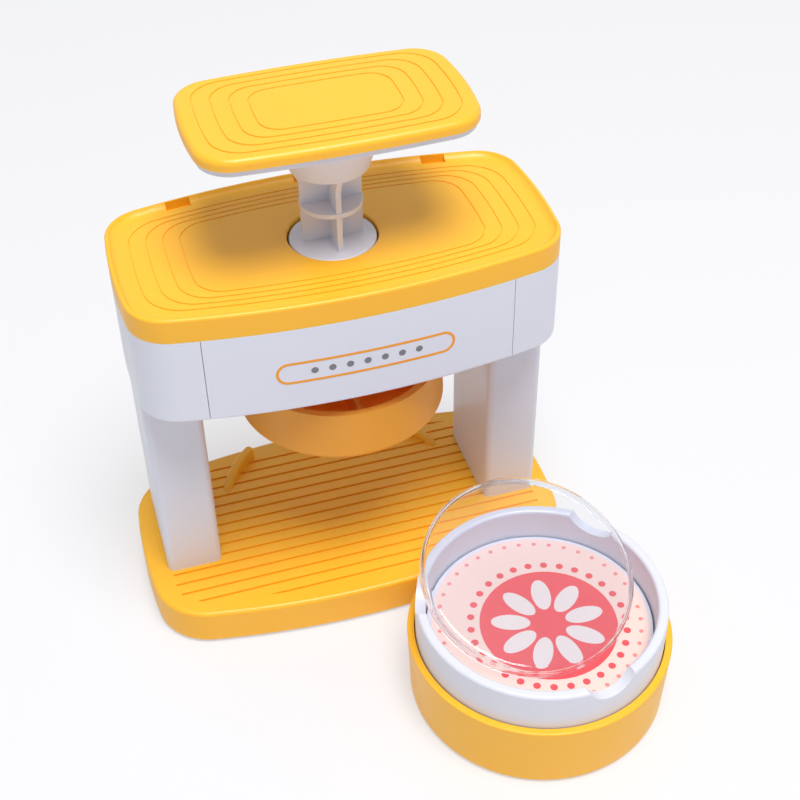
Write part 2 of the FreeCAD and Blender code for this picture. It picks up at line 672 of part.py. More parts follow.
def handle_pad():
    pad = rounded(bowed(HANDLE, PAD_UNDER, PAD_TOP), PAD_EDGE_R, PAD_TOP)
    cuts = stepped_grooves(HANDLE, PAD_GROOVE_IN_X, PAD_GROOVE_IN_Y, PAD_GROOVE_STEP_X,
                           PAD_GROOVE_STEP_Y, PAD_TOP)
    bite = PAD_T - GROOVE_D - BOSS_MARGIN
    cuts += [screw_hole(V(s.x, s.y, PAD_UNDER), UP, bite) for s in handle_screw_seats()]
    return pad.cut(cuts)


def handle_screws():
    length = HANDLE_PLATE_T + PAD_T - GROOVE_D - BOSS_MARGIN - SLIDE_GAP
    return Part.makeCompound([screw(seat, UP, length) for seat in handle_screw_seats()])


def stem_screw():
    seat = stem_screw_seat()
    return screw(seat, UP * -1, seat.z - COLLAR_BOTTOM - PEG_H + SCREW_BITE - SLIDE_GAP)


def return_spring():
    return coil(SPRING_MEAN_R, SPRING_WIRE_R, SPRING_TURNS, GUIDE_FLOOR_TOP, PISTON_UNDER)


def upper_die():
    top_r = UPPER_DIE_R - UPPER_DIE_TAPER
    rim_z = UPPER_DIE_BOTTOM + UPPER_DIE_H
    body = Part.makeCone(UPPER_DIE_R, top_r, UPPER_DIE_H, V(0, 0, UPPER_DIE_BOTTOM))
    body = rounded(body, UPPER_DIE_EDGE_R, UPPER_DIE_BOTTOM)
    inner = top_r - UPPER_DIE_WALL
    body = body.cut(drum(inner, UPPER_FLOOR_TOP, rim_z))
    ribs = []
    for i in range(UPPER_DIE_RIBS):
        rib = block(HUB_R - 1, inner + UPPER_DIE_WALL / 2, -RIB_T / 2, RIB_T / 2,
                    UPPER_FLOOR_TOP, UPPER_FLOOR_TOP + UPPER_DIE_H / 2)
        ribs.append(turned(rib, 360 * (i + 0.5) / UPPER_DIE_RIBS))
    body = body.fuse(ribs + [drum(HUB_R, UPPER_FLOOR_TOP, HUB_TOP)])
    seat = upper_die_screw_seat()
    return body.cut([drum(ROD_R + SCREW_PLAY, ROD_BOTTOM, HUB_TOP), head_recess(seat, UP, UPPER_DIE_FLOOR),
                     screw_hole(seat, UP, UPPER_DIE_FLOOR)])


def upper_die_screw_seat():
    return V(0, 0, UPPER_DIE_BOTTOM + SCREW_HEAD_H + SLIDE_GAP)


def upper_die_screw():
    seat = upper_die_screw_seat()
    return screw(seat, UP, ROD_BOTTOM - seat.z + SCREW_BITE - SLIDE_GAP)


# Lower die, built about its own axis and moved to its place

def at_die(shape):
    shape.translate(V(DIE_X, DIE_Y, 0))
    return shape


def die_spring_places():
    spots = []
    for i in range(DIE_SPRINGS):
        a = 2 * math.pi * i / DIE_SPRINGS
        spots.append((DIE_SPRING_R * math.cos(a), DIE_SPRING_R * math.sin(a)))
    return spots


def core_screw_seat():
    return V(0, 0, FLAT_SEAT)


def die_cup():
    cup = Part.makeCone(DIE_CUP_BOTTOM_R, DIE_CUP_TOP_R, DIE_CUP_H)
    cup = rounded(rounded(cup, DIE_CUP_EDGE_R, 0), DIE_CUP_WALL / 4, DIE_CUP_H)
    cup = cup.cut(drum(DIE_CUP_TOP_R - DIE_CUP_WALL, DIE_CUP_FLOOR, DIE_CUP_H))
    peg_r = DIE_SPRING_MEAN_R - DIE_SPRING_WIRE_R - SLIDE_GAP
    peg_top = DIE_CUP_FLOOR + DIE_SPRING_PEG_H
    cup = cup.fuse([drum(peg_r, DIE_CUP_FLOOR, peg_top, x, y) for x, y in die_spring_places()])
    seat = core_screw_seat()
    return at_die(cup.cut([head_recess(seat, UP, FLAT_SEAT), screw_hole(seat, UP, DIE_CUP_FLOOR)]))


def die_core():
    under = DIE_CORE_TOP - DIE_CORE_T
    plate = drum(DIE_CORE_R, under, DIE_CORE_TOP)
    skirt = tube(DIE_CORE_R, DIE_CORE_R - DIE_CORE_SKIRT_T, DIE_FLANGE_TOP + SLIDE_GAP, under)
    hub = drum(DIE_HUB_R, DIE_CUP_FLOOR, under)
    hole = screw_hole(V(0, 0, DIE_CUP_FLOOR), UP, SCREW_BITE)
    return at_die(plate.fuse([skirt, hub]).cut(hole))


def die_core_screw():
    length = DIE_CUP_FLOOR - FLAT_SEAT + SCREW_BITE - SLIDE_GAP
    return at_die(screw(core_screw_seat(), UP, length, FLAT_HEAD_H))


def die_ring():
    wall = rounded(drum(DIE_RING_R, DIE_RING_BOTTOM, DIE_RING_TOP), DIE_RING_EDGE_R, DIE_RING_TOP)
    bore = drum(DIE_BORE_R, DIE_FLANGE_TOP, DIE_RING_TOP)
    wall = wall.cut(bore)
    inner = [e for e in edges_at(wall, DIE_RING_TOP) if abs(e.BoundBox.XMax - DIE_BORE_R) < 1e-4]
    wall = wall.makeFillet(DIE_RING_EDGE_R, inner)
    wall = wall.cut(drum(DIE_RING_R - DIE_RING_FLANGE_W, DIE_RING_BOTTOM, DIE_FLANGE_TOP))
    notches = []
    axis_z = DIE_RING_TOP + NOTCH_R - NOTCH_D
    for i in range(NOTCH_COUNT):
        scoop = placed(drum(NOTCH_R, 0, DIE_RING_R + OVERSHOOT), V(0, 0, axis_z), V(1, 0, 0))
        notches.append(turned(scoop, NOTCH_HEADING + 360 * i / NOTCH_COUNT))
    return at_die(wall.cut(notches))


def die_springs():
    springs = []
    for x, y in die_spring_places():
        springs.append(coil(DIE_SPRING_MEAN_R, DIE_SPRING_WIRE_R, DIE_SPRING_TURNS,
                            DIE_CUP_FLOOR, DIE_RING_BOTTOM, x, y))
    return at_die(Part.makeCompound(springs))


def badge_paper():
    return at_die(drum(PAPER_R, DIE_CORE_TOP, PAPER_TOP))


# The least tilt at which the cover's rim clears the ring while its low side is just over the paper
def lean_angle():
    low, high = 2.0, 40.0
    for _ in range(40):
        tilt = (low + high) / 2
        if rim_clear(math.radians(tilt)):
            high = tilt
        else:
            low = tilt
    return high


def lean_height(tilt):
    return PAPER_TOP + SLIDE_GAP + BADGE_R * math.sin(tilt)


def rim_clear(tilt):
    for i in range(360):
        a = math.radians(i)
        along = BADGE_R * math.cos(a)
        x = CLEAR_LEAN_OFFSET + along * math.cos(tilt)
        y = BADGE_R * math.sin(a)
        z = lean_height(tilt) + along * math.sin(tilt)
        if math.hypot(x, y) > DIE_BORE_R - SLIDE_GAP and z < DIE_RING_TOP + SLIDE_GAP:
            return False
    return True


# A shallow clear cap, leaning with its low side on the paper and its high side over the ring
def badge_clear_cover():
    crown_r = (BADGE_R ** 2 + CLEAR_CROWN ** 2) / (2 * CLEAR_CROWN)
    centre = V(0, 0, CLEAR_SKIRT + CLEAR_CROWN - crown_r)
    height = CLEAR_SKIRT + CLEAR_CROWN
    outer = drum(BADGE_R, 0, height).common(Part.makeSphere(crown_r, centre))
    inner = drum(BADGE_R - CLEAR_T, 0, height).common(Part.makeSphere(crown_r - CLEAR_T, centre))
    cap = outer.cut(inner)
    tilt = lean_angle()
    cap.rotate(V(0, 0, 0), V(0, 1, 0), -tilt)
    cap.translate(V(CLEAR_LEAN_OFFSET, 0, lean_height(math.radians(tilt))))
    cap.rotate(V(0, 0, 0), UP, CLEAR_LEAN_HEADING + 180)
    print("clear cover leans", round(tilt, 2), "degrees")
    return at_die(cap)


left_frame = left_side_frame()
left_cover = left_column_rear_cover()
NODES = {
    "base_tray": base_tray(),
    "base_bottom_plate": base_bottom_plate(),
    "base_feet": base_feet(),
    "base_screws": base_screws(),
    "left_side_frame": left_frame,
    "right_side_frame": mirrored(left_frame),
    "left_column_rear_cover": left_cover,
    "right_column_rear_cover": mirrored(left_cover),
    "column_rear_screws": column_rear_screws(),
    "column_foot_screws": column_foot_screws(),
    "head_front_panel": head_panel(True),
    "head_rear_panel": head_panel(False),
    "head_floor": head_floor(),
    "head_floor_screws": head_floor_screws(),
    "plunger_guide": plunger_guide(),
    "guide_screws": guide_screws(),
    "top_cover": top_cover(),
    "cover_screws": cover_screws(),
    "plunger_stem": plunger_stem(),
    "handle_base": handle_base(),
    "handle_pad": handle_pad(),
    "handle_screws": handle_screws(),
    "stem_screw": stem_screw(),
    "return_spring": return_spring(),
    "upper_die": upper_die(),
    "upper_die_screw": upper_die_screw(),
    "die_cup": die_cup(),
    "die_core": die_core(),
    "die_core_screw": die_core_screw(),
    "die_ring": die_ring(),
    "die_springs": die_springs(),
    "badge_paper": badge_paper(),
    "badge_clear_cover": badge_clear_cover(),
}

os.makedirs("parts", exist_ok=True)
for name, shape in NODES.items():
    shape.exportStep("parts/" + name + ".step")
    state = "valid" if shape.isValid() else "not valid"
    print(name, len(shape.Solids), "solid(s)", round(shape.Volume), "mm3", state)
print("lower die at", round(DIE_X, 2), round(DIE_Y, 2))
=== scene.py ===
import json
import math

import bpy
from mathutils import Matrix, Vector


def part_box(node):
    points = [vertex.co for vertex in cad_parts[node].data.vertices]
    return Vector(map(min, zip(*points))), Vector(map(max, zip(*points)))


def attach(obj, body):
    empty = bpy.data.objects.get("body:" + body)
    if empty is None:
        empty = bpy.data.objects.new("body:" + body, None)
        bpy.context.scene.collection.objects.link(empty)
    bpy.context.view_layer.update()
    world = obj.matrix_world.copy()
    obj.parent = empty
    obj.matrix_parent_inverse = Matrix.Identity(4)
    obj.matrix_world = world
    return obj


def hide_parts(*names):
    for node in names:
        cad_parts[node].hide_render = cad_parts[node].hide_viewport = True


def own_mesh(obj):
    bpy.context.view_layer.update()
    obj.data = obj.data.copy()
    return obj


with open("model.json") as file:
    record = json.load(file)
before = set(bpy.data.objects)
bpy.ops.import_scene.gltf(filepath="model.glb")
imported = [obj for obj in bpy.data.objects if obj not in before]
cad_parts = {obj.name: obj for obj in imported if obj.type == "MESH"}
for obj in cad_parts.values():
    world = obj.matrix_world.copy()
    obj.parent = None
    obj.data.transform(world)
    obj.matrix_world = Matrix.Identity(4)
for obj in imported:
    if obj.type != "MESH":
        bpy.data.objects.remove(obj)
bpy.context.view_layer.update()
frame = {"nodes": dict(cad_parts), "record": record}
nodes = frame["nodes"]
bpy.ops.object.select_all(action="DESELECT")
print("frame loaded with", len(nodes), "nodes")

mm = 0.001
close = 0.01 * mm  # places nearer than this count as the same


def srgb(hexText):
    channels = [int(hexText[i:i + 2], 16) / 255 for i in (1, 3, 5)]
    linear = [c / 12.92 if c <= 0.04045 else ((c + 0.055) / 1.055) ** 2.4 for c in channels]
    return (*linear, 1.0)


def addNode(owner, kind, settings=None, links=None):
    tree = owner.node_tree
    node = tree.nodes.new(kind)
    for name, value in (settings or {}).items():
        if isinstance(name, int) or name in node.inputs:
            node.inputs[name].default_value = value
        else:
            setattr(node, name, value)
    for name, source in (links or {}).items():
        tree.links.new(source, node.inputs[name])
    return node


def newMaterial(name):
    material = bpy.data.materials.new(name)
    material.use_nodes = True
    return material, material.node_tree.nodes["Principled BSDF"]


def show(owner, shaded):
    # makes a shader the surface of a material or of the world
    tree = owner.node_tree
    output = [node for node in tree.nodes if node.type.startswith("OUTPUT")][0]
    tree.links.new(shaded, output.inputs["Surface"])


# ABS, injection moulded in a finely spark-eroded tool: an even satin sheen, a faint fine grain in
# the highlights, and a pigment that drifts a little over some centimetres.
mouldedAbs = dict(
    ior=1.53,
    driftDetail=2.0,
    handledDetail=4.0,
    handledBreakUp=0.6,
    patchLow=0.3,      # between these noise values a handled patch goes from smooth to dull
    patchHigh=0.7,
    grainDetail=1.0,
    grainStrength=0.6,
)
yellowAbs = dict(
    mouldedAbs,
    name="yellow_abs_moulded",
    deep="#FFB722",
    light="#FFC02E",
    roughLow=0.34,
    roughHigh=0.46,
    driftMm=45.0,
    handledMm=14.0,
    grainMm=0.55,      # the real grain is near 0.1 mm, drawn coarser so that it shows
    grainDepthMm=0.012,
    glow=0.15,         # light that soaks into the pigmented wall
    glowMm=(1.6, 0.6, 0.15),
)
thinYellowAbs = dict(
    yellowAbs,
    name="yellow_abs_thin_wall",
    deep="#FFBE40",
    light="#FFC84E",
    through="#FF9C30",  # what a thin wall lets through is redder than what it sends back
    throughShare=0.36,
)
whiteAbs = dict(
    mouldedAbs,
    name="white_abs_moulded",
    deep="#DADCE8",
    light="#E1E3EE",
    roughLow=0.3,
    roughHigh=0.4,
    driftMm=60.0,
    handledMm=16.0,
    grainMm=0.5,
    grainDepthMm=0.008,
    glow=0.1,
    glowMm=(0.9, 0.8, 0.7),
)


def mouldedPlastic(look):
    material, shader = newMaterial(look["name"])
    links = material.node_tree.links
    place = addNode(material, "ShaderNodeTexCoord").outputs["Object"]
    drift = addNode(
        material, "ShaderNodeTexNoise",
        {"Scale": 1 / (look["driftMm"] * mm), "Detail": look["driftDetail"]},
        {"Vector": place},
    )
    tone = addNode(
        material, "ShaderNodeMix",
        {"data_type": "RGBA", 6: srgb(look["deep"]), 7: srgb(look["light"])},
        {0: drift.outputs["Fac"]},
    )
    links.new(tone.outputs[2], shader.inputs["Base Color"])
    # hands leave smoother and duller patches
    handled = addNode(
        material, "ShaderNodeTexNoise",
        {"Scale": 1 / (look["handledMm"] * mm), "Detail": look["handledDetail"],
         "Roughness": look["handledBreakUp"]},
        {"Vector": place},
    )
    rough = addNode(
        material, "ShaderNodeMapRange",
        {"From Min": look["patchLow"], "From Max": look["patchHigh"],
         "To Min": look["roughLow"], "To Max": look["roughHigh"]},
        {"Value": handled.outputs["Fac"]},
    )
    links.new(rough.outputs["Result"], shader.inputs["Roughness"])
    grain = addNode(
        material, "ShaderNodeTexNoise",
        {"Scale": 1 / (look["grainMm"] * mm), "Detail": look["grainDetail"]},
        {"Vector": place},
    )
    bump = addNode(
        material, "ShaderNodeBump",
        {"Strength": look["grainStrength"], "Distance": look["grainDepthMm"] * mm},
        {"Height": grain.outputs["Fac"]},
    )
    links.new(bump.outputs["Normal"], shader.inputs["Normal"])
    shader.inputs["IOR"].default_value = look["ior"]
    shader.inputs["Subsurface Weight"].default_value = look["glow"]
    shader.inputs["Subsurface Radius"].default_value = [reach * mm for reach in look["glowMm"]]
    shader.inputs["Subsurface Scale"].default_value = 1.0
    if "through" in look:
        lit = addNode(material, "ShaderNodeBsdfTranslucent", {"Color": srgb(look["through"])})
        mixed = addNode(
            material, "ShaderNodeMixShader",
            {0: look["throughShare"]},
            {1: shader.outputs["BSDF"], 2: lit.outputs["BSDF"]},
        )
        show(material, mixed.outputs["Shader"])
    return material


# Steel screws, zinc plated: grey metal with a faint blue cast and fine rolled streaks.
zincSteel = dict(
    name="steel_zinc_plated",
    colour="#B9BCC0",
    stain="#8F9398",
    roughLow=0.256,
    roughHigh=0.416,
    streakMm=0.7,
    streakDetail=3.0,
)
# Spring wire, drawn and blued: darker and glossier, with finer streaks.
springSteel = dict(
    zincSteel,
    name="spring_steel_drawn",
    colour="#9A9DA2",
    stain="#6D7076",
    roughLow=0.192,
    roughHigh=0.312,
    streakMm=0.4,
)


def metal(look):
    material, shader = newMaterial(look["name"])
    links = material.node_tree.links
    place = addNode(material, "ShaderNodeTexCoord").outputs["Object"]
    streak = addNode(
        material, "ShaderNodeTexNoise",
        {"Scale": 1 / (look["streakMm"] * mm), "Detail": look["streakDetail"]},
        {"Vector": place},
    )
    tone = addNode(
        material, "ShaderNodeMix",
        {"data_type": "RGBA", 6: srgb(look["stain"]), 7: srgb(look["colour"])},
        {0: streak.outputs["Fac"]},
    )
    links.new(tone.outputs[2], shader.inputs["Base Color"])
    rough = addNode(
        material, "ShaderNodeMapRange",
        {"To Min": look["roughLow"], "To Max": look["roughHigh"]},
        {"Value": streak.outputs["Fac"]},
    )
    links.new(rough.outputs["Result"], shader.inputs["Roughness"])
    shader.inputs["Metallic"].default_value = 1.0
    return material


# Natural rubber, moulded: dull dark grey with a pale bloom in patches.
rubberFeet = dict(
    name="rubber_moulded",
    colour="#3C3C3E",
    bloom="#57575A",
    bloomMm=3.0,
    bloomDetail=5.0,
    bloomDepthMm=0.05,
    bloomStrength=0.5,
    rough=0.78,
)


def rubber(look):
    material, shader = newMaterial(look["name"])
    links = material.node_tree.links
    place = addNode(material, "ShaderNodeTexCoord").outputs["Object"]
    bloom = addNode(
        material, "ShaderNodeTexNoise",
        {"Scale": 1 / (look["bloomMm"] * mm), "Detail": look["bloomDetail"]},
        {"Vector": place},
    )
    tone = addNode(
        material, "ShaderNodeMix",
        {"data_type": "RGBA", 6: srgb(look["colour"]), 7: srgb(look["bloom"])},
        {0: bloom.outputs["Fac"]},
    )
    links.new(tone.outputs[2], shader.inputs["Base Color"])
    bump = addNode(
        material, "ShaderNodeBump",
        {"Strength": look["bloomStrength"], "Distance": look["bloomDepthMm"] * mm},
        {"Height": bloom.outputs["Fac"]},
    )
    links.new(bump.outputs["Normal"], shader.inputs["Normal"])
    shader.inputs["Roughness"].default_value = look["rough"]
    return material


# Coated paper, offset printed: a matt sheet whose ink lies in a fine dot screen.
offsetPrint = dict(
    dotMm=0.5,
    dotScatter=0.15,
    fibreMm=0.9,
    fibreDetail=3.0,
    fibreDepthMm=0.01,
    fibreStrength=0.4,
    rough=0.5,
)
coatedPaper = dict(offsetPrint, name="paper_coated", colour="#F7DAD0", screen="#F0CFC4", rough=0.55)
coralInk = dict(offsetPrint, name="paper_coral_ink", colour="#F0585E", screen="#E84E56")
whiteInk = dict(offsetPrint, name="paper_white_ink", colour="#F0E4E1", screen="#E9DAD6")
roseInk = dict(offsetPrint, name="paper_rose_ink", colour="#F0948F", screen="#EA8884")
# Pad-printed ink on plastic: a thin satin film, a little uneven in its cover.
padPrint = dict(offsetPrint, dotMm=0.9, rough=0.42)
orangeInk = dict(padPrint, name="ink_orange_pad_printed", colour="#F2A02C", screen="#EC9722")
greyInk = dict(padPrint, name="ink_grey_pad_printed", colour="#7C7D84", screen="#74757C")


def printed(look):
    material, shader = newMaterial(look["name"])
    links = material.node_tree.links
    place = addNode(material, "ShaderNodeTexCoord").outputs["Object"]
    screen = addNode(
        material, "ShaderNodeTexVoronoi",
        {"Scale": 1 / (look["dotMm"] * mm), "Randomness": look["dotScatter"]},
        {"Vector": place},
    )
    tone = addNode(
        material, "ShaderNodeMix",
        {"data_type": "RGBA", 6: srgb(look["colour"]), 7: srgb(look["screen"])},
        {0: screen.outputs["Distance"]},
    )
    links.new(tone.outputs[2], shader.inputs["Base Color"])
    fibre = addNode(
        material, "ShaderNodeTexNoise",
        {"Scale": 1 / (look["fibreMm"] * mm), "Detail": look["fibreDetail"]},
        {"Vector": place},
    )
    bump = addNode(
        material, "ShaderNodeBump",
        {"Strength": look["fibreStrength"], "Distance": look["fibreDepthMm"] * mm},
        {"Height": fibre.outputs["Fac"]},
    )
    links.new(bump.outputs["Normal"], shader.inputs["Normal"])
    shader.inputs["Roughness"].default_value = look["rough"]
    return material


# Clear PET, thermoformed: nearly colourless, a hard gloss, and faint waves from the forming.
clearPet = dict(
    name="pet_clear_formed",
    colour="#F6F8FB",
    shade="#F4F5F8",
    ior=1.5,
    rough=0.03,
    waveMm=12.0,
    waveDetail=1.0,
    waveDepthMm=0.006,
    waveStrength=0.5,
)


def clearPlastic(look):
    material, shader = newMaterial(look["name"])
    links = material.node_tree.links
    place = addNode(material, "ShaderNodeTexCoord").outputs["Object"]
    wave = addNode(
        material, "ShaderNodeTexNoise",
        {"Scale": 1 / (look["waveMm"] * mm), "Detail": look["waveDetail"]},
        {"Vector": place},
    )
    bump = addNode(
        material, "ShaderNodeBump",
        {"Strength": look["waveStrength"], "Distance": look["waveDepthMm"] * mm},
        {"Height": wave.outputs["Fac"]},
    )
    links.new(bump.outputs["Normal"], shader.inputs["Normal"])
    shader.inputs["Base Color"].default_value = srgb(look["colour"])
    shader.inputs["Roughness"].default_value = look["rough"]
    shader.inputs["IOR"].default_value = look["ior"]
    shader.inputs["Transmission Weight"].default_value = 1.0
    # light goes through the thin wall, so its shadow is only a faint one
    path = addNode(material, "ShaderNodeLightPath")
    passing = addNode(
        material, "ShaderNodeMath",
        {"operation": "MAXIMUM"},
        {0: path.outputs["Is Shadow Ray"], 1: path.outputs["Is Diffuse Ray"]},
    )
    through = addNode(material, "ShaderNodeBsdfTransparent", {"Color": srgb(look["shade"])})
    mixed = addNode(
        material, "ShaderNodeMixShader", {},
        {0: passing.outputs[0], 1: shader.outputs["BSDF"], 2: through.outputs["BSDF"]},
    )
    show(material, mixed.outputs["Shader"])
    return material


slotMaterials = {
    "yellow_plastic": mouldedPlastic(yellowAbs),
    "white_plastic": mouldedPlastic(whiteAbs),
    "zinc_screws": metal(zincSteel),
    "spring_wire": metal(springSteel),
    "rubber": rubber(rubberFeet),
    "printed_paper": printed(coatedPaper),
    "clear_plastic": clearPlastic(clearPet),
}
for part in frame["record"]["subparts"]:
    data = nodes[part["node"]].data
    data.materials.clear()
    data.materials.append(slotMaterials[part["material_slot"]])
# light comes through the thin wall of the upper die
nodes["upper_die"].data.materials[0] = mouldedPlastic(thinYellowAbs)
print("materials given to", len(nodes), "nodes")


def selectOnly(piece):
    bpy.ops.object.select_all(action="DESELECT")
    piece.select_set(True)
    bpy.context.view_layer.objects.active = piece


def applied():
    # puts the place, turn and scale of the shape just added into its mesh
    bpy.ops.object.transform_apply(location=True, rotation=True, scale=True)
    return bpy.context.object


def editStart(piece):
    selectOnly(piece)
    bpy.ops.object.mode_set(mode="EDIT")


def pick(kind, test):
    # selects the vertices or edges or faces whose place passes the test
    bpy.ops.mesh.select_all(action="DESELECT")
    bpy.ops.mesh.select_mode(type=kind)
    bpy.ops.object.mode_set(mode="OBJECT")
    data = bpy.context.object.data
    if kind == "VERT":
        for v in data.vertices:
            v.select = test(v.co)
    elif kind == "EDGE":
        for e in data.edges:
            e.select = test(*[data.vertices[i].co for i in e.vertices])
    else:
        for f in data.polygons:
            f.select = test(f.center, f.normal)
    bpy.ops.object.mode_set(mode="EDIT")


def copyRound(count, centre):
    # copies what is selected evenly round an upright axis
    copies = count - 1
    bpy.ops.mesh.spin(steps=copies, dupli=True, angle=2 * math.pi * copies / count,
                      center=centre, axis=(0, 0, 1))


def settle(piece, name, body, material):
    # the piece's place goes into its mesh, and it rides on its body
    selectOnly(piece)
    applied()
    piece.name = name
    piece.data.materials.clear()
    piece.data.materials.append(material)
    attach(piece, body)
    return piece


# Printed mark on the front of the head: a plain rounded frame with a row of dots.
frontMark = dict(
    node="head_front_panel",
    centreX=0.15,
    centreZ=92.4,
    startY=-60.0,      # in front of the panel, before the ink is laid on it
    length=47.5,
    height=6.8,
    line=0.75,
    ink=0.04,
    sunk=0.01,
    endSides=64,
    cuts=48,
    dots=7,
    dotPitch=4.6,
    dotRadius=0.95,
    dotSides=40,
)


def inkOn(piece, look):
    # lays a flat shape on the front of its node and gives it the thickness of the ink
    wrap = piece.modifiers.new("lie", "SHRINKWRAP")
    wrap.target = nodes[look["node"]]
    wrap.wrap_method = "PROJECT"
    wrap.use_project_y = True
    wrap.use_negative_direction = True
    wrap.use_positive_direction = True
    wrap.offset = look["ink"] * mm
    selectOnly(piece)
    bpy.ops.object.modifier_apply(modifier="lie")
    film = piece.modifiers.new("film", "SOLIDIFY")
    film.thickness = (look["ink"] + look["sunk"]) * mm
    film.offset = -1.0
    bpy.ops.object.modifier_apply(modifier="film")


def makeFrontFrame(look):
    radius = look["height"] / 2 * mm
    reach = (look["length"] - look["height"]) / 2 * mm
    bpy.ops.mesh.primitive_circle_add(vertices=look["endSides"], radius=radius, fill_type="NGON",
                                      location=(0, 0, 0),
                                      rotation=(math.pi / 2, math.pi / look["endSides"], 0))
    piece = applied()
    editStart(piece)
    pick("VERT", lambda co: co.x > 0)
    bpy.ops.transform.translate(value=(reach, 0, 0))
    pick("VERT", lambda co: co.x < 0)
    bpy.ops.transform.translate(value=(-reach, 0, 0))
    pick("EDGE", lambda a, b: abs(a.x - b.x) > reach)
    bpy.ops.mesh.subdivide(number_cuts=look["cuts"])
    pick("FACE", lambda centre, normal: True)
    bpy.ops.mesh.inset(thickness=look["line"] * mm)
    bpy.ops.mesh.delete(type="FACE")
    bpy.ops.mesh.select_all(action="SELECT")
    start = Vector((look["centreX"], look["startY"], look["centreZ"])) * mm
    bpy.ops.transform.translate(value=start)
    bpy.ops.object.mode_set(mode="OBJECT")
    inkOn(piece, look)
    return piece


def makeFrontDots(look):
    bpy.ops.mesh.primitive_circle_add(vertices=look["dotSides"], radius=look["dotRadius"] * mm,
                                      fill_type="NOTHING", location=(0, 0, 0),
                                      rotation=(math.pi / 2, 0, 0))
    piece = applied()
    editStart(piece)
    bpy.ops.mesh.select_all(action="SELECT")
    bpy.ops.mesh.fill_grid(span=look["dotSides"] // 4)
    firstX = look["centreX"] - (look["dots"] - 1) / 2 * look["dotPitch"]
    bpy.ops.transform.translate(value=Vector((firstX, look["startY"], look["centreZ"])) * mm)
    for i in range(look["dots"] - 1):
        bpy.ops.mesh.duplicate()
        bpy.ops.transform.translate(value=(look["dotPitch"] * mm, 0, 0))
    bpy.ops.object.mode_set(mode="OBJECT")
    inkOn(piece, look)
    return piece


settle(makeFrontFrame(frontMark), "front_mark_frame", "press", printed(orangeInk))
settle(makeFrontDots(frontMark), "front_mark_dots", "press", printed(greyInk))
print("front mark printed")

# Print on the paper disc: a coral patch with a white daisy, inside two rings of dots.
paperLow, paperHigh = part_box("badge_paper")
patchAt = (1.6, -2.4)
paperPrint = dict(
    middle=((paperLow.x + paperHigh.x) / 2, (paperLow.y + paperHigh.y) / 2),
    top=paperHigh.z,
    gap=0.01,
    ink=0.03,
    sides=48,
    discs=[
        dict(name="coral_patch", at=patchAt, radius=18.6, layer=0, ink="coral"),
        dict(name="coral_eye", at=patchAt, radius=3.0, layer=1, ink="coral"),
    ],
    rings=[
        dict(name="white_daisy", at=patchAt, count=9, reach=10.2, length=10.6, width=5.2,
             layer=1, ink="white"),
        dict(name="patch_dots", at=patchAt, count=30, reach=21.0, length=2.0, width=2.0,
             layer=0, ink="coral"),
        dict(name="edge_dots", at=(0.0, 0.0), count=40, reach=27.2, length=1.2, width=1.2,
             layer=0, ink="rose"),
    ],
)
inks = dict(coral=printed(coralInk), white=printed(whiteInk), rose=printed(roseInk))


def makeDot(look, at, length, width, layer):
    # a flat oval of ink, its long side along x
    centre = Vector((look["middle"][0] + at[0] * mm, look["middle"][1] + at[1] * mm, 0))
    centre.z = look["top"] + (look["gap"] + layer * look["ink"]) * mm
    bpy.ops.mesh.primitive_circle_add(vertices=look["sides"], radius=length / 2 * mm,
                                      fill_type="NGON", location=centre)
    bpy.context.object.scale.y = width / length
    piece = applied()
    editStart(piece)
    bpy.ops.mesh.select_all(action="SELECT")
    bpy.ops.mesh.extrude_region_move(TRANSFORM_OT_translate=dict(value=(0, 0, look["ink"] * mm)))
    bpy.ops.mesh.select_all(action="SELECT")
    bpy.ops.mesh.normals_make_consistent(inside=False)
    bpy.ops.object.mode_set(mode="OBJECT")
    return piece


def makeRing(look, ring):
    # one petal or dot, copied round the middle of its ring
    x, y = ring["at"]
    piece = makeDot(look, (x + ring["reach"], y), ring["length"], ring["width"], ring["layer"])
    editStart(piece)
    bpy.ops.mesh.select_all(action="SELECT")
    copyRound(ring["count"], (look["middle"][0] + x * mm, look["middle"][1] + y * mm, 0))
    bpy.ops.object.mode_set(mode="OBJECT")
    return piece


for disc in paperPrint["discs"]:
    width = disc["radius"] * 2
    spot = makeDot(paperPrint, disc["at"], width, width, disc["layer"])
    settle(spot, "print_" + disc["name"], "lower_die", inks[disc["ink"]])
for ring in paperPrint["rings"]:
    spots = makeRing(paperPrint, ring)
    settle(spots, "print_" + ring["name"], "lower_die", inks[ring["ink"]])
print("paper disc printed")

# Clear cover: a thin flat dish turned upside down, leaning in the ring with its low side over
# the paper.
clearCover = dict(
    radius=29.0,
    height=4.2,
    wall=0.8,
    edge=1.7,
    edgeSteps=8,
    lip=0.25,
    lipSteps=3,
    sides=160,
    smoothBelow=40.0,
    lean=17.83,
    heading=99.7,
    offset=8.0,
    gap=0.3,
)


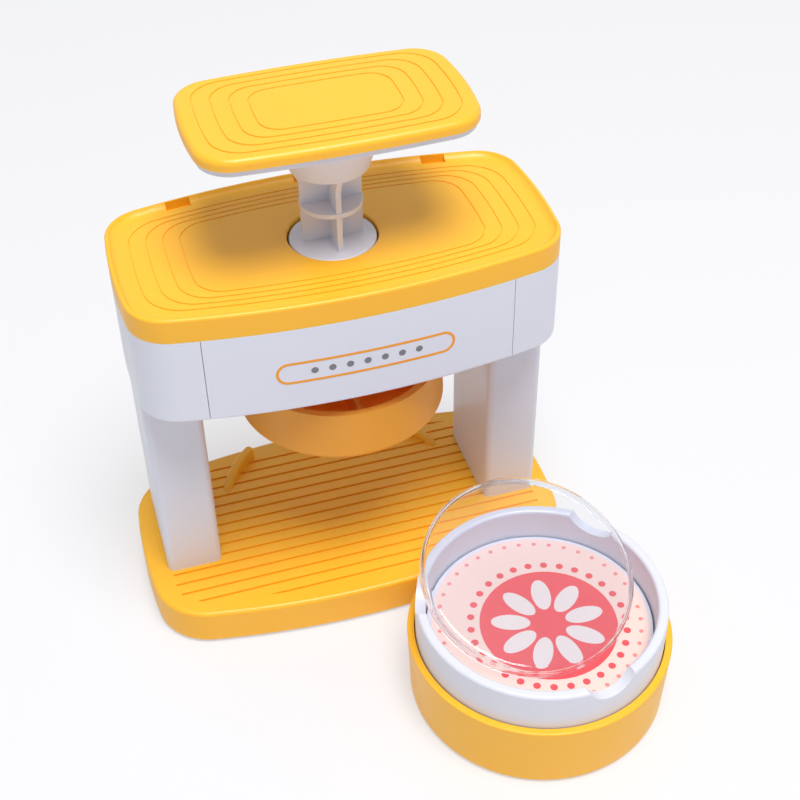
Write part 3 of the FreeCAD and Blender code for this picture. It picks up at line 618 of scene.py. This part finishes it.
def makeClearCover(look):
    radius, height = look["radius"] * mm, look["height"] * mm
    bpy.ops.mesh.primitive_cylinder_add(vertices=look["sides"], radius=radius, depth=height,
                                        end_fill_type="NGON", location=(0, 0, height / 2))
    piece = applied()
    editStart(piece)
    pick("FACE", lambda centre, normal: centre.z < close)
    bpy.ops.mesh.delete(type="FACE")
    pick("EDGE", lambda a, b: min(a.z, b.z) > height - close)
    bpy.ops.mesh.bevel(offset=look["edge"] * mm, segments=look["edgeSteps"], profile=0.5)
    bpy.ops.object.mode_set(mode="OBJECT")
    wall = piece.modifiers.new("wall", "SOLIDIFY")
    wall.thickness = look["wall"] * mm
    wall.offset = -1.0
    wall.use_even_offset = True
    bpy.ops.object.modifier_apply(modifier="wall")
    editStart(piece)
    pick("EDGE", lambda a, b: max(a.z, b.z) < close and abs(a.xy.length - b.xy.length) < close)
    bpy.ops.mesh.bevel(offset=look["lip"] * mm, segments=look["lipSteps"], profile=0.5)
    bpy.ops.object.mode_set(mode="OBJECT")
    bpy.ops.object.shade_smooth_by_angle(angle=math.radians(look["smoothBelow"]))
    lean, heading = math.radians(look["lean"]), math.radians(look["heading"])
    rise = paperHigh.z + (look["gap"] + look["radius"] * math.sin(lean)) * mm
    middle = Vector((*paperPrint["middle"], rise))
    forward = Vector((math.cos(heading), math.sin(heading), 0))
    piece.location = middle + forward * look["offset"] * mm
    piece.rotation_euler = (0, -lean, heading)
    return piece


shell = settle(makeClearCover(clearCover), "clear_cover_shell", "clear_cover",
               slotMaterials["clear_plastic"])
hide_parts("badge_clear_cover")
print("clear cover made")

# Coil springs: wound wire, one in the head and three under the ring.
coil = dict(sides=12, steps=32, smoothBelow=50.0, spare=0.1)
returnSpring = dict(
    coil,
    node="return_spring",
    body="press",
    joint="plunger_press",
    stroke=21.0,
    wire=0.6,
    mean=8.6,
    turns=8,
    count=1,
    middle=(0.0, 0.0),
)
dieSprings = dict(
    coil,
    node="die_springs",
    body="lower_die",
    joint="ring_sink",
    stroke=4.0,
    wire=0.3,
    mean=2.6,
    turns=4,
    count=3,
    middle=paperPrint["middle"],
)


def makeSprings(look):
    low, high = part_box(look["node"])
    wire, mean = look["wire"] * mm, look["mean"] * mm
    reach = high.x - look["middle"][0] - mean - wire
    centre = Vector((look["middle"][0] + reach, look["middle"][1], 0))
    bpy.ops.mesh.primitive_circle_add(vertices=look["sides"], radius=wire, fill_type="NOTHING",
                                      rotation=(math.pi / 2, 0, 0),
                                      location=(mean, 0, low.z + wire))
    piece = applied()
    wind = piece.modifiers.new("wind", "SCREW")
    wind.axis = "Z"
    wind.angle = 2 * math.pi
    wind.screw_offset = (high.z - low.z - 2 * wire) / look["turns"]
    wind.iterations = look["turns"]
    wind.steps = look["steps"]
    wind.render_steps = look["steps"]
    bpy.ops.object.modifier_apply(modifier="wind")
    editStart(piece)
    for end in (low.z + wire, high.z - wire):
        pick("VERT", lambda co: abs(co.y) < close and co.x > 0 and abs(co.z - end) < wire + close)
        bpy.ops.mesh.edge_face_add()
    bpy.ops.mesh.select_all(action="SELECT")
    bpy.ops.mesh.normals_make_consistent(inside=False)
    bpy.ops.transform.translate(value=centre)
    if look["count"] > 1:
        copyRound(look["count"], (*look["middle"], 0))
    bpy.ops.object.mode_set(mode="OBJECT")
    bpy.ops.object.shade_smooth_by_angle(angle=math.radians(look["smoothBelow"]))
    settle(piece, look["node"] + "_wound", look["body"],
           slotMaterials["spring_wire"])
    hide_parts(look["node"])
    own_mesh(piece)


makeSprings(returnSpring)
makeSprings(dieSprings)
print("springs wound")


def seenRays(owner):
    # 1 for what is looked at straight, in gloss or through glass, and 0 for light on its way
    path = addNode(owner, "ShaderNodeLightPath")
    gloss = addNode(
        owner, "ShaderNodeMath",
        {"operation": "MAXIMUM"},
        {0: path.outputs["Is Camera Ray"], 1: path.outputs["Is Glossy Ray"]},
    )
    glass = addNode(
        owner, "ShaderNodeMath",
        {"operation": "MAXIMUM"},
        {0: gloss.outputs[0], 1: path.outputs["Is Transmission Ray"]},
    )
    return glass.outputs[0]


# White laminate table. Where it is looked at, it is paler than the light alone makes it.
tableLook = dict(
    size=6.0,
    dropMm=0.02,
    colour="#E6E6E9",
    rough=0.3,
    pale="#FEFEFF",
    paleness=0.5,
)
bpy.ops.mesh.primitive_plane_add(size=tableLook["size"], location=(0, 0, -tableLook["dropMm"] * mm))
floor = bpy.context.object
floor.name = "table_top"
tableTop, shader = newMaterial("laminate_white_gloss")
shader.inputs["Base Color"].default_value = srgb(tableLook["colour"])
shader.inputs["Roughness"].default_value = tableLook["rough"]
share = addNode(
    tableTop, "ShaderNodeMath",
    {"operation": "MULTIPLY", 1: tableLook["paleness"]},
    {0: seenRays(tableTop)},
)
pale = addNode(tableTop, "ShaderNodeEmission", {"Color": srgb(tableLook["pale"]), "Strength": 1.0})
mixed = addNode(
    tableTop, "ShaderNodeMixShader", {},
    {0: share.outputs[0], 1: shader.outputs["BSDF"], 2: pale.outputs["Emission"]},
)
show(tableTop, mixed.outputs["Shader"])
floor.data.materials.append(tableTop)

# Soft light from all round. What gloss and glass show is a white room.
roomLook = dict(soft="#F6F7FA", softStrength=0.46, seen="#FBFBFD", seenStrength=0.9)
world = bpy.data.worlds.new("studio")
bpy.context.scene.world = world
world.use_nodes = True
soft = world.node_tree.nodes["Background"]
soft.inputs["Color"].default_value = srgb(roomLook["soft"])
soft.inputs["Strength"].default_value = roomLook["softStrength"]
room = addNode(
    world, "ShaderNodeBackground",
    {"Color": srgb(roomLook["seen"]), "Strength": roomLook["seenStrength"]},
)
mixed = addNode(
    world, "ShaderNodeMixShader", {},
    {0: seenRays(world), 1: soft.outputs["Background"], 2: room.outputs["Background"]},
)
show(world, mixed.outputs["Shader"])

# One round soft box over the front of the press, in metres.
keyLamp = dict(place=(0.06, -0.44, 1.5), aim=(0.0, -0.03, 0.08), size=0.78, watts=21.0)
bpy.ops.object.light_add(type="AREA", location=keyLamp["place"])
light = bpy.context.object
light.name = "lamp_key"
light.data.shape = "DISK"
light.data.size = keyLamp["size"]
light.data.energy = keyLamp["watts"]
away = Vector(keyLamp["aim"]) - Vector(keyLamp["place"])
light.rotation_euler = away.to_track_quat("-Z", "Y").to_euler()

cameraLook = dict(
    azimuth=-16.731,
    elevation=40.206,
    roll=0.976,
    distance=370.7,
    target=(10.11, -25.01, 77.50),
    lens=62.98,
    sensor=36.0,
    shiftY=-0.02,
    nearest=0.01,
    farthest=50.0,
)
azimuth, elevation = math.radians(cameraLook["azimuth"]), math.radians(cameraLook["elevation"])
back = Vector((
    math.sin(azimuth) * math.cos(elevation),
    -math.cos(azimuth) * math.cos(elevation),
    math.sin(elevation),
))
target = Vector(cameraLook["target"]) * mm
bpy.ops.object.camera_add(location=target + back * cameraLook["distance"] * mm)
camera = bpy.context.object
camera.name = "photo_camera"
roll = Matrix.Rotation(-math.radians(cameraLook["roll"]), 3, "Z")
turn = (-back).to_track_quat("-Z", "Y").to_matrix() @ roll
camera.rotation_euler = turn.to_euler()
camera.data.lens = cameraLook["lens"]
camera.data.sensor_width = cameraLook["sensor"]
camera.data.shift_y = cameraLook["shiftY"]
camera.data.clip_start = cameraLook["nearest"]
camera.data.clip_end = cameraLook["farthest"]
bpy.context.scene.camera = camera
bpy.context.scene.view_settings.view_transform = "Standard"
print("floor, light and camera set")
